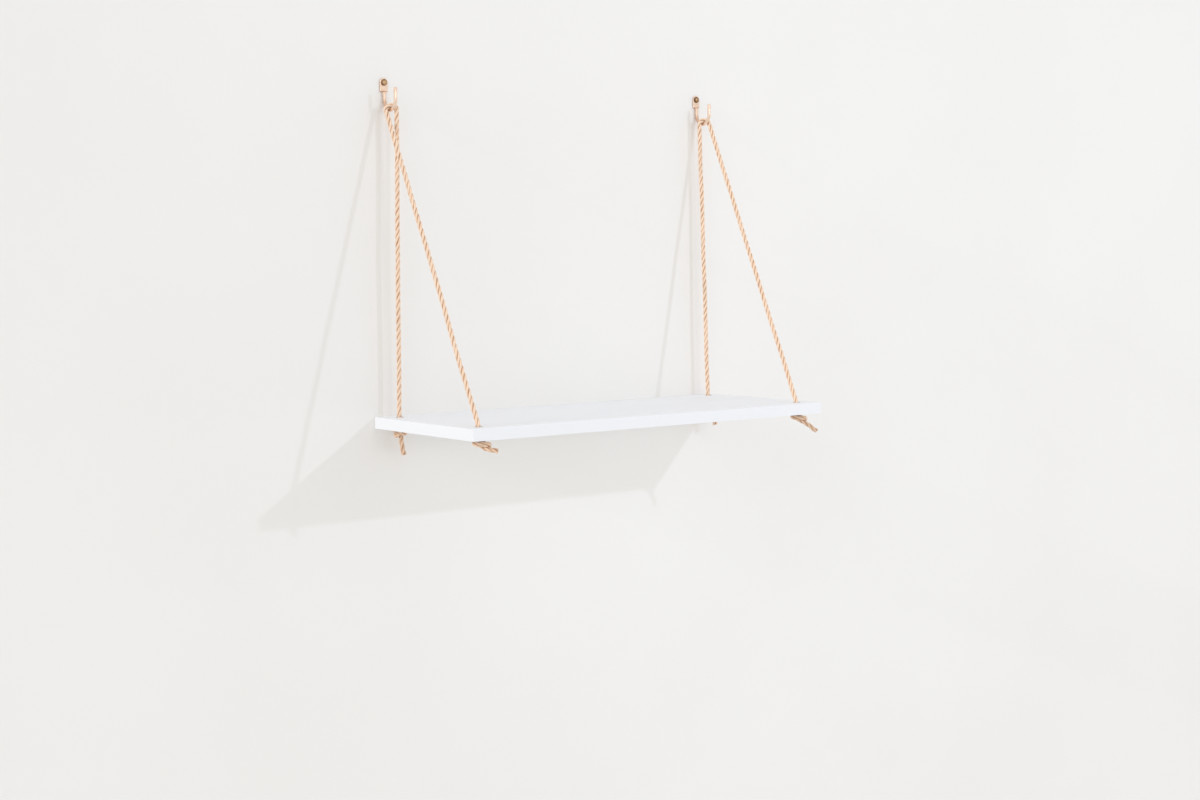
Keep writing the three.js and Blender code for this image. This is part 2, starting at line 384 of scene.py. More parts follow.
@dataclass(frozen=True)
class WhitePaint(Finish):
    """Satin white paint on a wood board, with the bare core inside the rope holes. The marks
    of the bare core and the worn rim are metres outside a hole's edge."""

    name: str = "white_paint"
    paint: Colour = (0.848, 0.855, 0.876)
    thin_paint: Colour = (0.802, 0.806, 0.818)
    core: Colour = (0.36, 0.24, 0.15)
    core_shade: float = 0.55
    roughness: float = 0.42
    gloss_shares: Span = (0.10, 0.3)
    specular: float = 0.42
    hole_x: float = HANG_X
    hole_y: float = 0.100
    middle_y: float = -0.125
    hole_radius: float = HOLE_RADIUS
    clouds: Pattern = Pattern(9.0, 4.0)
    grain: Pattern = Pattern(stretch=(14.0, 240.0, 240.0))
    peel: Pattern = Pattern(1100.0, 2.0)
    specks: Pattern = Pattern(260.0, 2.0)
    fibre: Pattern = Pattern(stretch=(500.0, 500.0, 1400.0))
    bare: Mark = Mark(0.00045, 0.00005)
    thin_clouds: Mark = Mark(0.35, 0.7, 0.16)
    thin_grain: Mark = Mark(0.45, 0.75, 0.10)
    thin_rim: Mark = Mark(0.0018, 0.0004, 0.35)
    thin_specks: Mark = Mark(0.70, 0.78, 0.25)
    relief: Relief = Relief((0.5, 0.35, 0.15), 0.16, 0.0002)

    def wire(self, graph: Graph) -> dict[str, Any]:
        """Paint with faint roller texture and grain, worn thin at the hole rims.

        Args:
            graph: the material's nodes.

        Returns:
            Values and links by socket name.
        """
        place = graph.place()
        x, y, _ = graph.axes(place)
        across = abs(x) - self.hole_x
        along = abs(y - self.middle_y) - self.hole_y
        outside = (across * across + along * along) ** 0.5 - self.hole_radius
        inside = self.bare.on(outside)
        clouds, grain = graph.noise(place, self.clouds), graph.noise(place, self.grain)
        peel, specks = graph.noise(place, self.peel), graph.noise(place, self.specks)
        thin = (self.thin_clouds.on(clouds) + self.thin_grain.on(grain)
                + self.thin_rim.on(outside) + self.thin_specks.on(specks)).least(1.0)
        painted = graph.mix(thin, self.paint, self.thin_paint)
        shaded = tuple(self.core_shade * part for part in self.core)
        bare = graph.mix(graph.noise(place, self.fibre), self.core, shaded)
        return {
            "Base Color": graph.mix(inside, painted, bare),
            "Roughness": self.roughness + weighed((clouds, inside), self.gloss_shares),
            "Normal": graph.bump(self.relief, peel, grain, clouds),
            "Specular IOR Level": self.specular,
        }


@dataclass(frozen=True)
class Metal(Finish):
    """Metal with drawn lines, tarnish clouds and pits. Subclasses add ageing and painted light."""

    name: str = "metal"
    bright: Colour = (0.94, 0.735, 0.59)
    tarnished: Colour = (0.60, 0.34, 0.22)
    roughness: float = 0.20
    gloss_shares: Point = (0.14, 0.2, 0.05)
    clouds: Pattern = Pattern(150.0, 4.0, 0.6)
    lines: Pattern = Pattern(octaves=2.0, stretch=(1600.0, 1600.0, 130.0))
    pits: Pattern = Pattern(900.0, 2.0)
    tarnish: Mark = Mark(0.42, 0.72, 0.35)
    pitting: Mark = Mark(0.62, 0.75)
    pit_stain: float = 0.35
    relief: Relief = Relief((0.25, 0.15, 1.0), 0.35, 0.00022)

    def age(self, graph: Graph, place: Socket, stains: Signal) -> tuple[Signal, list[Signal]]:
        """Adds what ages this metal in its own places, and the shade and highlights painted on it.

        Args:
            graph: the material's nodes.
            place: where they are read.
            stains: the tarnish and pits that any metal has.

        Returns:
            The mask of tarnish and painted light, and patterns for the relief, at most one.
        """
        raise NotImplementedError

    def wire(self, graph: Graph) -> dict[str, Any]:
        """Colour, gloss and relief of the metal.

        Args:
            graph: the material's nodes.

        Returns:
            Values and links by socket name.
        """
        place = graph.place()
        clouds, lines = graph.noise(place, self.clouds), graph.noise(place, self.lines)
        pits = self.pitting.on(graph.noise(place, self.pits))
        stains = self.tarnish.on(clouds) + pits * self.pit_stain
        # The mask holds tarnish and pits, with each metal's painted shade and highlight.
        tarnish_and_painted_light, worked = self.age(graph, place, stains)
        return {
            "Base Color": graph.mix(tarnish_and_painted_light.least(1.0), self.bright, self.tarnished),
            "Metallic": 1.0,
            "Roughness": self.roughness + weighed((clouds, pits, lines), self.gloss_shares),
            "Normal": graph.bump(self.relief, lines, clouds, *worked),
        }


@dataclass(frozen=True)
class HookCopper(Metal):
    """Copper plating: beaten on the plate, with painted shade inside the bend, a painted shadow
    under the plate's shoulders and a painted highlight of less tarnish on the wire below them.
    The marks are heights or distances in metres."""

    name: str = "copper"
    beaten: Mark = Mark(-0.018, -0.014)
    dent_scale: float = 420.0
    dent_shade: Mark = Mark(0.6, 0.1, 0.2)
    # Painted shade: darker copper inside the bend of the wire.
    crook_shade: Mark = Mark(-0.021, -0.027, 0.6)
    crook_shade_reach: Mark = Mark(-0.024, -0.016)
    # Painted shadow: a dark line across the wire where the thin plate steps out to the round wire.
    shoulder_shadow_level: float = -0.0121
    shoulder_shadow: Mark = Mark(0.0009, 0.0002, 0.7)
    shoulder_shadow_reach: Mark = Mark(-0.010, -0.006)
    # Painted highlight: tarnish is cut on the wire below the plate, so the wire reads lighter.
    wire_highlight: Mark = Mark(-0.0131, -0.0151, 0.7)

    def age(self, graph: Graph, place: Socket, stains: Signal) -> tuple[Signal, list[Signal]]:
        """Dents on the plate; painted shade in the bend, shadow at the shoulders, highlight below.

        Args:
            graph: the material's nodes.
            place: where they are read.
            stains: the tarnish and pits that any metal has.

        Returns:
            The mask of tarnish with the painted shade and highlight, and the dents.
        """
        _, y, z = graph.axes(place)
        beaten = self.beaten.on(z)
        dents = graph.dents(place, self.dent_scale)
        # Painted shade inside the bend.
        crook_shade = self.crook_shade.on(z) * self.crook_shade_reach.on(y)
        # Painted shadow under the plate's shoulders.
        shoulder_shadow = self.shoulder_shadow.on(abs(z - self.shoulder_shadow_level)) * self.shoulder_shadow_reach.on(y)
        shaded = beaten * self.dent_shade.on(dents)
        # Tarnish, cut below the plate as a painted highlight, plus painted shade, painted shadow
        # and darker dents.
        return stains * (1 - self.wire_highlight.on(z)) + crook_shade + shoulder_shadow + shaded, [dents * beaten]


@dataclass(frozen=True)
class ScrewBrass(Metal):
    """Aged brass, with a painted dark reflection at the head's rim and painted shade down in its
    recess. The marks are metres from the screw's axis, and the floor's is metres from the wall."""

    name: str = "aged_brass"
    bright: Colour = (0.60, 0.39, 0.22)
    tarnished: Colour = (0.16, 0.085, 0.04)
    roughness: float = 0.18
    tarnish: Mark = Mark(0.42, 0.72, 0.5)
    axis_x: float = HANG_X
    # Painted reflection: the head darkens toward its rim.
    rim: Mark = Mark(0.0022, 0.0042, 0.75)
    # Painted shade: the metal is darker down inside the cross recess.
    recess: Mark = Mark(0.0030, 0.0027, 0.9)
    recess_floor: Mark = Mark(-0.0043, -0.0039)

    def age(self, graph: Graph, place: Socket, stains: Signal) -> tuple[Signal, list[Signal]]:
        """Painted dark reflection at the rim and painted shade in the recess.

        Args:
            graph: the material's nodes.
            place: where they are read.
            stains: the tarnish and pits that any metal has.

        Returns:
            The mask of tarnish with the painted reflection and shade, and no relief of its own.
        """
        x, y, z = graph.axes(place)
        across = abs(x) - self.axis_x
        away = (across * across + z * z) ** 0.5
        # Painted shade down in the recess.
        recess_shade = self.recess.on(away) * self.recess_floor.on(y)
        # Tarnish plus the rim's painted dark reflection and the recess's painted shade.
        return stains + self.rim.on(away) + recess_shade, []


@dataclass(frozen=True)
class Nylon(Finish):
    """Moulded grey nylon."""

    name: str = "nylon"
    colour: Colour = (0.47, 0.48, 0.49)
    flow_colour: Colour = (0.40, 0.41, 0.43)
    roughness: float = 0.52
    skin_gloss: float = 0.16
    depth_weight: float = 0.08
    depth_reach: float = 0.002
    flow: Pattern = Pattern(stretch=(260.0, 60.0, 260.0))
    skin: Pattern = Pattern(2600.0, 2.0)
    flowed: Mark = Mark(0.35, 0.7)
    relief: Relief = Relief((0.6, 0.4), 0.25, 0.0001)

    def wire(self, graph: Graph) -> dict[str, Any]:
        """Faint flow marks along the moulding and a fine eroded skin.

        Args:
            graph: the material's nodes.

        Returns:
            Values and links by socket name.
        """
        place = graph.place()
        flow, skin = graph.noise(place, self.flow), graph.noise(place, self.skin)
        return {
            "Base Color": graph.mix(self.flowed.on(flow), self.colour, self.flow_colour),
            "Roughness": self.roughness + skin * self.skin_gloss,
            "Normal": graph.bump(self.relief, skin, flow),
            "Subsurface Weight": self.depth_weight,
            "Subsurface Scale": self.depth_reach,
        }


@dataclass(frozen=True)
class NaturalFibre(Finish):
    """Plant fibre spun in yarns and strands. It reads the lay's own map: around, the place
    round a strand from its inner side, and turns, those of the lay."""

    name: str = "natural_fibre"
    light: Colour = (0.885, 0.69, 0.53)
    mid: Colour = (0.81, 0.535, 0.355)
    # Colour of the painted shade in the grooves between strands and the gaps between yarns.
    dark: Colour = (0.47, 0.24, 0.125)
    # Colour of the painted shade on the rope below the board, where the knots sit.
    under_board_shade_colour: Colour = (0.50, 0.29, 0.16)
    roughness: float = 0.80
    fibre_gloss: float = 0.15
    specular: float = 0.25
    sheen: float = 0.12
    sheen_roughness: float = 0.5
    yarns: float = 8.0
    yarn_twist: float = 2.0
    yarn_drift: float = 0.9
    drift: Pattern = Pattern(octaves=2.0, stretch=(2.0, 5.0, 0.0))
    wear: Pattern = Pattern(octaves=2.0, stretch=(1.7, 0.6, 0.0))
    fibres: Pattern = Pattern(octaves=4.0, weight=0.65, stretch=(4.0, 7.0, 0.0))
    clouds: Pattern = Pattern(70.0, 3.0)
    # Painted shade in the grooves between strands, its depth varied by a wear pattern.
    groove_shade: Mark = Mark(-0.45, 0.25, 0.90)
    least_groove_shade: float = 0.55
    groove_wear: Mark = Mark(0.35, 0.65, 0.45)
    # Painted shade in the gaps between yarns.
    yarn_gap_shade: Mark = Mark(0.22, 0.0, 0.25)
    # Painted shade at each yarn's edges; the fibre and cloud marks below are the fibre's own tone.
    yarn_shade: Mark = Mark(0.55, 0.0, 0.38)
    fibre_shade: Mark = Mark(0.45, 0.75, 0.45)
    cloud_shade: Mark = Mark(0.4, 0.7, 0.22)
    # Painted shade: the rope is darker below the board's underside, varied by clouds.
    knots: Mark = Mark(-0.4700, -0.4730)
    least_under_board_shade: float = 0.20
    under_board_shade_clouds: Mark = Mark(0.35, 0.7, 0.20)
    relief: Relief = Relief((0.6, 0.4), 0.7, 0.00022)

    def wire(self, graph: Graph) -> dict[str, Any]:
        """Yarn lines, fibre streaks, and painted shade between strands and yarns and on the knots.

        Args:
            graph: the material's nodes.

        Returns:
            Values and links by socket name.
        """
        lay = graph.node("ShaderNodeUVMap", {"uv_map": LAY_MAP}).outputs[0]
        around, turns, _ = graph.axes(lay)
        place = graph.place()
        yarn = (around + turns * self.yarn_twist) * self.yarns
        drift = graph.noise(lay, self.drift)
        line = abs(((yarn + drift * self.yarn_drift) * math.pi).sin())
        inner = (around * (2 * math.pi)).cos()
        wear = graph.noise(graph.vector(turns, around), self.wear)
        # Painted shade on each strand's inner side, in the grooves between strands.
        groove_shade = self.groove_shade.on(inner) * (self.least_groove_shade + self.groove_wear.on(wear))
        fibres = graph.noise(graph.vector(yarn, turns), self.fibres)
        clouds = graph.noise(place, self.clouds)
        # Yarn edges painted with shade; fibre streaks and clouds vary the fibre's own tone.
        shade = (self.yarn_shade.on(line) + self.fibre_shade.on(fibres)
                 + self.cloud_shade.on(clouds)).least(1.0)
        # Painted shade in the grooves between strands and the gaps between yarns.
        dark = (groove_shade + self.yarn_gap_shade.on(line)).least(1.0)
        spun = graph.mix(dark, graph.mix(shade, self.light, self.mid), self.dark)
        _, _, height = graph.axes(place)
        # Painted shade on the knots and tails below the board.
        under_board_shade = self.knots.on(height) * (self.least_under_board_shade + self.under_board_shade_clouds.on(clouds))
        return {
            "Base Color": graph.mix(under_board_shade, spun, self.under_board_shade_colour),
            "Roughness": self.roughness + fibres * self.fibre_gloss,
            "Normal": graph.bump(self.relief, line, fibres),
            "Specular IOR Level": self.specular,
            "Sheen Weight": self.sheen,
            "Sheen Roughness": self.sheen_roughness,
        }


@dataclass(frozen=True)
class Plaster(Finish):
    """Pale painted plaster, open when it is looked at from behind."""

    name: str = "plaster"
    colour: Colour = (0.861, 0.846, 0.819)
    patch: Colour = (0.843, 0.826, 0.796)
    roughness: float = 0.9
    specular: float = 0.1
    clouds: Pattern = Pattern(1.6, 4.0)
    trowel: Pattern = Pattern(octaves=4.0, weight=0.6, stretch=(30.0, 30.0, 44.0))
    grit: Pattern = Pattern(220.0, 3.0)
    patches: Mark = Mark(0.35, 0.7)
    relief: Relief = Relief((0.7, 0.3), 0.12, 0.0012)

    def wire(self, graph: Graph) -> dict[str, Any]:
        """Soft patches, trowel marks and grit.

        Args:
            graph: the material's nodes.

        Returns:
            Values and links by socket name.
        """
        place = graph.place()
        patches = self.patches.on(graph.noise(place, self.clouds))
        trowel, grit = graph.noise(place, self.trowel), graph.noise(place, self.grit)
        return {
            "Base Color": graph.mix(patches, self.colour, self.patch),
            "Roughness": self.roughness,
            "Specular IOR Level": self.specular,
            "Normal": graph.bump(self.relief, trowel, grit),
        }

    def surface(self, graph: Graph) -> Socket:
        """The plaster, and nothing on its back.

        Args:
            graph: the material's nodes.

        Returns:
            The mixed shader.
        """
        back = graph.node("ShaderNodeNewGeometry").outputs["Backfacing"]
        clear = graph.node("ShaderNodeBsdfTransparent").outputs[0]
        shaders = {0: back, 1: super().surface(graph), 2: clear}
        return graph.node("ShaderNodeMixShader", inputs=shaders).outputs[0]


# Meshes


def placed(name: str, data: bpy.types.ID) -> Piece:
    """Makes an object of a mesh, lamp or camera, and puts it in the scene.

    Args:
        name: the object's name.
        data: the mesh, lamp or camera.

    Returns:
        The object, at the origin.
    """
    made = bpy.data.objects.new(name, data)
    bpy.context.scene.collection.objects.link(made)
    return made


class Skin:
    """Collects sleeves of quads, each a row of rings, and makes one mesh of them."""

    CORNERS = (0, 0), (1, 0), (1, 1), (0, 1)

    def __init__(self, map_name: Optional[str] = None) -> None:
        """Starts an empty skin.

        Args:
            map_name: the surface map's name, if it has one.
        """
        self.map_name = map_name
        self.points: list[np.ndarray] = []
        self.faces: list[list[int]] = []
        self.uvs: list[Span] = []
        self.count = 0

    def sleeve(self, rings: np.ndarray, ups: Optional[Sequence[float]] = None) -> None:
        """Adds a closed sleeve with flat end caps.

        Args:
            rings: points as [ring, place round it, xyz], turning the same way round.
            ups: the surface map's second number for each ring.
        """
        rows, around = rings.shape[:2]
        ups = np.arange(rows, dtype=float) if ups is None else ups
        base = self.count
        self.points.append(rings.reshape(-1, 3))
        self.count += rows * around
        shares = [j / around for j in range(around + 1)]
        for i in range(rows - 1):
            for j in range(around):
                self.faces.append([
                    base + (i + up) * around + (j + on) % around for on, up in self.CORNERS])
                self.uvs += [(shares[j + on], ups[i + up]) for on, up in self.CORNERS]
        first = [base + j for j in reversed(range(around))]
        last = [base + (rows - 1) * around + j for j in range(around)]
        self.faces += [first, last]
        self.uvs += [(shares[j], ups[0]) for j in reversed(range(around))]
        self.uvs += [(shares[j], ups[-1]) for j in range(around)]

    def piece(self, name: str) -> Piece:
        """Makes the object.

        Args:
            name: the piece's name.

        Returns:
            A smooth-shaded mesh object at the origin.
        """
        mesh = bpy.data.meshes.new(name)
        mesh.from_pydata(np.concatenate(self.points).tolist(), [], self.faces)
        if self.map_name:
            layer = mesh.uv_layers.new(name=self.map_name)
            layer.data.foreach_set("uv", np.array(self.uvs, np.float32).ravel())
        mesh.shade_smooth()
        return placed(name, mesh)


def sleeved(name: str, rings: Any, centre: Point) -> Piece:
    """Makes a piece of one closed sleeve.

    Args:
        name: the piece's name.
        rings: rows of points, turning the same way round.
        centre: what the points are moved by.

    Returns:
        The object.
    """
    skin = Skin()
    skin.sleeve(np.array(rings) + np.array(centre))
    return skin.piece(name)


def ring(radius: float, along: float, sides: int) -> list[Point]:
    """A ring about the Y axis."""
    turns = [2 * math.pi * j / sides for j in range(sides)]
    return [(radius * math.sin(turn), along, radius * math.cos(turn)) for turn in turns]


def turned(name: str, profile: Sequence[Span], centre: Point, axis: Axis, sides: int) -> Piece:
    """Revolves a profile into a closed form.

    Args:
        name: the piece's name.
        profile: (radius, distance along the axis) pairs, no radius being 0.
        centre: where the axis starts.
        axis: the way that the distances run.
        sides: facets round the form.

    Returns:
        The object.
    """
    rings = np.array([ring(radius, along, sides) for radius, along in profile])
    if axis is Axis.UP:
        rings = np.roll(rings, 1, axis=2)
    return sleeved(name, rings, centre)


def section(y: float, half_x: float, half_z: float) -> list[Point]:
    """Four corners across the Y axis."""
    return [(half_x, y, half_z), (-half_x, y, half_z), (-half_x, y, -half_z), (half_x, y, -half_z)]


def carve(piece: Piece, cutters: Sequence[Piece]) -> None:
    """Cuts closed forms out of a piece, and removes them.

    Args:
        piece: what is cut.
        cutters: the closed forms.
    """
    for cutter in cutters:
        step = piece.modifiers.new("carve", "BOOLEAN")
        step.operation, step.solver, step.object = "DIFFERENCE", "EXACT", cutter
    view = bpy.context.evaluated_depsgraph_get()
    mesh = bpy.data.meshes.new_from_object(piece.evaluated_get(view))
    piece.modifiers.clear()
    piece.data = mesh
    for cutter in cutters:
        bpy.data.objects.remove(cutter)


def crisp(piece: Piece, degrees: float) -> None:
    """Shades a piece smooth, with edges above an angle left sharp."""
    piece.data.shade_smooth()
    piece.data.set_sharp_from_angle(angle=math.radians(degrees))


def spline(
    points: Sequence[Vector], step: float, finer: int = 4, least: float = 1e-9
) -> list[Vector]:
    """Centripetal spline through points, evenly stepped.

    Args:
        points: what the curve passes through.
        step: distance between the points given back.
        finer: how much finer the curve is worked out.
        least: the least distance between points, so that none is nothing.

    Returns:
        Points along the curve, both ends included.
    """
    ends = [2 * points[0] - points[1], *points, 2 * points[-1] - points[-2]]
    dense: list[Vector] = []
    for p0, p1, p2, p3 in zip(ends, ends[1:], ends[2:], ends[3:]):
        t1 = max((p1 - p0).length, least) ** 0.5
        t2 = t1 + max((p2 - p1).length, least) ** 0.5
        t3 = t2 + max((p3 - p2).length, least) ** 0.5
        count = max(finer, math.ceil((p2 - p1).length / step * finer))
        for i in range(count):
            t = t1 + (t2 - t1) * i / count
            a1 = p0 * ((t1 - t) / t1) + p1 * (t / t1)
            a2 = p1 * ((t2 - t) / (t2 - t1)) + p2 * ((t - t1) / (t2 - t1))
            a3 = p2 * ((t3 - t) / (t3 - t2)) + p3 * ((t - t2) / (t3 - t2))
            b1 = a1 * ((t2 - t) / t2) + a2 * (t / t2)
            b2 = a2 * ((t3 - t) / (t3 - t1)) + a3 * ((t - t1) / (t3 - t1))
            dense.append(b1 * ((t2 - t) / (t2 - t1)) + b2 * ((t - t1) / (t2 - t1)))
    dense.append(points[-1].copy())
    line = np.array(dense)
    run = np.concatenate([[0], np.cumsum(np.linalg.norm(np.diff(line, axis=0), axis=1))])
    even = np.linspace(0, run[-1], max(2, round(run[-1] / step)) + 1)
    return [Vector([np.interp(s, run, line[:, k]) for k in range(3)]) for s in even]


def length_of(line: Sequence[Vector]) -> float:
    """Length of a row of points."""
    return sum((b - a).length for a, b in zip(line, line[1:]))


class Ripple:
    """A smooth, seeded wander round 0, for handmade unevenness."""

    STRENGTHS: Span = (0.5, 1.0)
    DETUNING: Span = (0.8, 1.2)
    FULL = 1.2

    def __init__(self, seed: int, wave: float, terms: int = 4) -> None:
        """Draws the waves.

        Args:
            seed: for the draws.
            wave: the longest wave in metres.
            terms: how many waves are added up.
        """
        draw = random.Random(seed)
        self.terms = [
            (draw.uniform(*self.STRENGTHS) / n, n * draw.uniform(*self.DETUNING) / wave,
             draw.uniform(0, 1))
            for n in range(1, terms + 1)
        ]

    def at(self, place: float) -> float:
        """The wander at a distance along, about -1 to 1."""
        waves = (a * math.sin(2 * math.pi * (f * place + p)) for a, f, p in self.terms)
        return sum(waves) / self.FULL


# Makers of pieces. All sizes are metres.


@dataclass(kw_only=True)
class Maker:
    """Makes and dresses one piece. Subclasses say how, and which nodes it stands for."""

    finish: Finish
    slot: str
    body: Optional[str] = None

    def build(self) -> Piece:
        """Builds the mesh."""
        raise NotImplementedError

    def nodes(self) -> list[str]:
        """The nodes that the piece stands for."""
        raise NotImplementedError

    def dress(self, piece: Piece) -> None:
        """Gives a piece its material, nodes and the body that it rides on.

        Args:
            piece: the built piece.
        """
        piece.data.materials.clear()
        piece.data.materials.append(self.finish.material())
        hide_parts(*self.nodes())
        if self.body:
            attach(piece, self.body)
        count = len(piece.data.polygons)
        log.info("%s: %d faces, stands for %s", piece.name, count, ", ".join(self.nodes()))

    def make(self) -> Piece:
        """Builds and dresses the piece.

        Returns:
            The piece.
        """
        piece = self.build()
        self.dress(piece)
        return piece


@dataclass(kw_only=True)
class SideMaker(Maker):
    """Makes one piece of the left or right hanging."""

    side: Side
    hang_x: float = HANG_X

    @property
    def x(self) -> float:
        """The hanging's place along the board."""
        return self.side.value * self.hang_x

    @property
    def word(self) -> str:
        """The side's name."""
        return self.side.name.lower()


# Ropes


@dataclass(frozen=True)
class Lay:
    """Three strands laid right-handed round a line."""

    strands: int = 3
    pitch: float = 0.0315
    helix_radius: float = 0.00173
    strand_depth: float = 0.00172
    strand_width: float = 0.00184
    sides: int = 20
    step: float = 0.0011
    unevenness: float = 0.050
    swell_seed: int = 7
    swell_wave: float = 0.060
    wander_seed: int = 11
    wander_wave: float = 0.045
    wander_turns: float = 0.03
    flare_length: float = 0.009
    flare_power: float = 1.6
    flare_reach: float = 1.5
    cap_rings: int = 3
    cap_open: float = 0.4
    cap_rise: float = 0.45

    def build(self, name: str, line: Sequence[Vector], seed: int, flare: float = 0.0) -> Piece:
        """Lays the strands along a line.

        Args:
            name: the piece's name.
            line: the rope's centre line.
            seed: for its unevenness.
            flare: share by which the strands open at the far cut end.

        Returns:
            The rope.
        """
        path = spline(line, self.step)
        tangents = [(b - a).normalized() for a, b in zip(path, path[1:])]
        tangents.append(tangents[-1])
        side = tangents[0].orthogonal().normalized()
        sides: list[Vector] = []
        for tangent in tangents:
            side = (side - tangent * side.dot(tangent)).normalized()
            sides.append(side)
        total = length_of(path)
        skin = Skin(LAY_MAP)
        for strand in range(self.strands):
            swell = Ripple(seed * self.swell_seed + strand, self.swell_wave)
            wander = Ripple(seed * self.wander_seed + strand, self.wander_wave)
            rings, ups = [], []
            run = 0.0
            for i, (point, tangent, side) in enumerate(zip(path, tangents, sides)):
                run += (point - path[i - 1]).length if i else 0.0
                turns = run / self.pitch + strand / self.strands
                near_end = max(0.0, 1 - (total - run) / self.flare_length)
                spread = flare * near_end ** self.flare_power
                angle = 2 * math.pi * (turns + self.wander_turns * wander.at(run))
                out = side * math.cos(angle) + tangent.cross(side) * math.sin(angle)
                grow = 1 + self.unevenness * swell.at(run)
                centre = point + out * self.helix_radius * (1 + self.flare_reach * spread)
                rings.append(self._section(centre, out, tangent.cross(out), grow))
                ups.append(turns)
            first, last = self._cap(rings[0], -tangents[0]), self._cap(rings[-1], tangents[-1])
            rings = [*reversed(first), *rings, *last]
            ups = [ups[0]] * self.cap_rings + ups + [ups[-1]] * self.cap_rings
            skin.sleeve(np.array(rings), ups)
        return skin.piece(name)

    def _section(self, centre: Vector, out: Vector, across: Vector, grow: float) -> list[Vector]:
        """One strand's section, which starts at its innermost point.

        Args:
            centre: the strand's middle.
            out: the way from the rope's middle.
            across: the way along the rope's skin.
            grow: how much thicker than usual the strand is.

        Returns:
            The points.
        """
        depth, width = self.strand_depth * grow, self.strand_width * grow
        angles = [math.pi + 2 * math.pi * j / self.sides for j in range(self.sides)]
        return [
            centre + out * (depth * math.cos(a)) + across * (width * math.sin(a)) for a in angles
        ]

    def _cap(self, last: Sequence[Vector], outward: Vector) -> list[list[Vector]]:
        """Rounds off a strand's cut end.

        Args:
            last: the ring at the end.
            outward: the way out of the end.

        Returns:
            More rings, from that one outwards.
        """
        centre = sum(last, Vector()) / len(last)
        radius = (last[0] - centre).length
        made = []
        for n in range(1, self.cap_rings + 1):
            angle = n / (self.cap_rings + self.cap_open) * math.pi / 2
            shrink, rise = math.cos(angle), self.cap_rise * radius * math.sin(angle)
            made.append([centre + (p - centre) * shrink + outward * rise for p in last])
        return made


@dataclass(kw_only=True)
class RopeMaker(SideMaker):
    """Lays one length of a rope."""

    finish: Finish = NaturalFibre()
    slot: str = "rope"
    seed: int
    diameter: float = 0.006
    lay: Lay = Lay()


@dataclass(kw_only=True)
class HungRope(RopeMaker):
    """One rope from inside its back or front hole, up over the hook's wire and down again."""

    wall_side_row: Row
    tip_side_row: Row
    tip_side_seed: int = 5
    bend_centre_y: float = -0.01725
    bend_centre_z: float = -0.0235
    bend_radius: float = 0.01475
    seat_radius: float = 0.00575
    wall_side_seat: float = math.radians(-7)
    tip_side_seat: float = math.radians(29)
    seat_stations: int = 12
    hang_level: float = -0.4535
    lean: float = 0.0013
    hole_steps: tuple[Span, ...] = ((0.85, 0.0015), (0.45, 0.0045), (0.30, 0.0075))
    straight: float = 0.002
    lead: float = 0.008
    leg_stations: int = 24
    leg_stop: float = 0.004
    wobble: float = 0.00045
    wobble_waves: Span = (0.34, 0.29)
    wobble_terms: int = 3
    wobble_rise: float = 8.0
    blend_start: float = -0.040
    blend_end: float = -0.060
    path_step: float = 0.004

    def seat_point(self, around: float, along: float) -> Vector:
        """Rope centre on the wire.

        Args:
            around: angle round the wire, -90 degrees on its left and 90 on its right.
            along: angle on the bend from its lowest point towards the tip.

        Returns:
            The point.
        """
        r = self.bend_radius - self.seat_radius * math.cos(around)
        return Vector((
            self.x + self.seat_radius * math.sin(around),
            self.bend_centre_y - r * math.sin(along),
            self.bend_centre_z - r * math.cos(along),
        ))

    def leg(self, around: float, row: Row, seed: int) -> list[Vector]:
        """Points of one leg, from close under the wire down into its hole.

        Args:
            around: the side of the wire, -90 or 90 degrees.
            row: the row of its hole.
            seed: for its slight waver.

        Returns:
            The points.
        """
        seat = self.tip_side_seat if around > 0 else self.wall_side_seat
        start = self.seat_point(around, seat)
        way = Vector((self.x, row.value + self.lean, self.hang_level)) - start
        length = way.length
        way.normalize()
        waver = [Ripple(seed + n, wave, self.wobble_terms)
                 for n, wave in enumerate(self.wobble_waves)]
        points = [start + way * self.straight, start + way * self.lead]
        for i in range(1, self.leg_stations):
            share = i / self.leg_stations
            along = self.lead + (length - self.lead - self.leg_stop) * share
            bow = self.wobble * min(1.0, self.wobble_rise * share, self.wobble_rise * (1 - share))
            shift = Vector((waver[0].at(along), waver[1].at(along), 0)) * bow
            points.append(start + way * along + shift)
        for lean, down in self.hole_steps:
            points.append(
                Vector((self.x, row.value + self.lean * lean, self.hang_level - down)))
        return points

    def route(self) -> list[Vector]:
        """The rope's whole line, from the wall-side leg's hole to the tip-side leg's.

        Returns:
            The points.
        """
        first = self.leg(-math.pi / 2, self.wall_side_row, self.seed)
        second = self.leg(math.pi / 2, self.tip_side_row, self.seed + self.tip_side_seed)
        over = []
        for i in range(self.seat_stations + 1):
            around = (i / self.seat_stations - 0.5) * math.pi
            share = (1 + math.sin(around)) / 2
            along = self.wall_side_seat + (self.tip_side_seat - self.wall_side_seat) * share
            over.append(self.seat_point(around, along))
        return [*reversed(first), *over, *second]

    def build(self) -> Piece:
        """Lays the rope."""
        return self.lay.build(f"rope_{self.word}", self.route(), self.seed)

    def nodes(self) -> list[str]:
        """The rope's bight and its two runs."""
        return [f"rope_{self.word}_{part}" for part in ("bight", "back_run", "front_run")]

    def dress(self, piece: Piece) -> None:
        """Finishes the rope and bakes its place into its mesh.

        Args:
            piece: the rope.
        """
        super().dress(piece)
        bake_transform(piece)

    def declare(self, piece: Piece, ends: Sequence[Piece]) -> None:
        """Works out the rope's centre line from hole to hole, and does nothing more with it.

        Args:
            piece: the rope, not used.
            ends: its two knots, not used.
        """
        path = spline(self.route(), self.path_step)


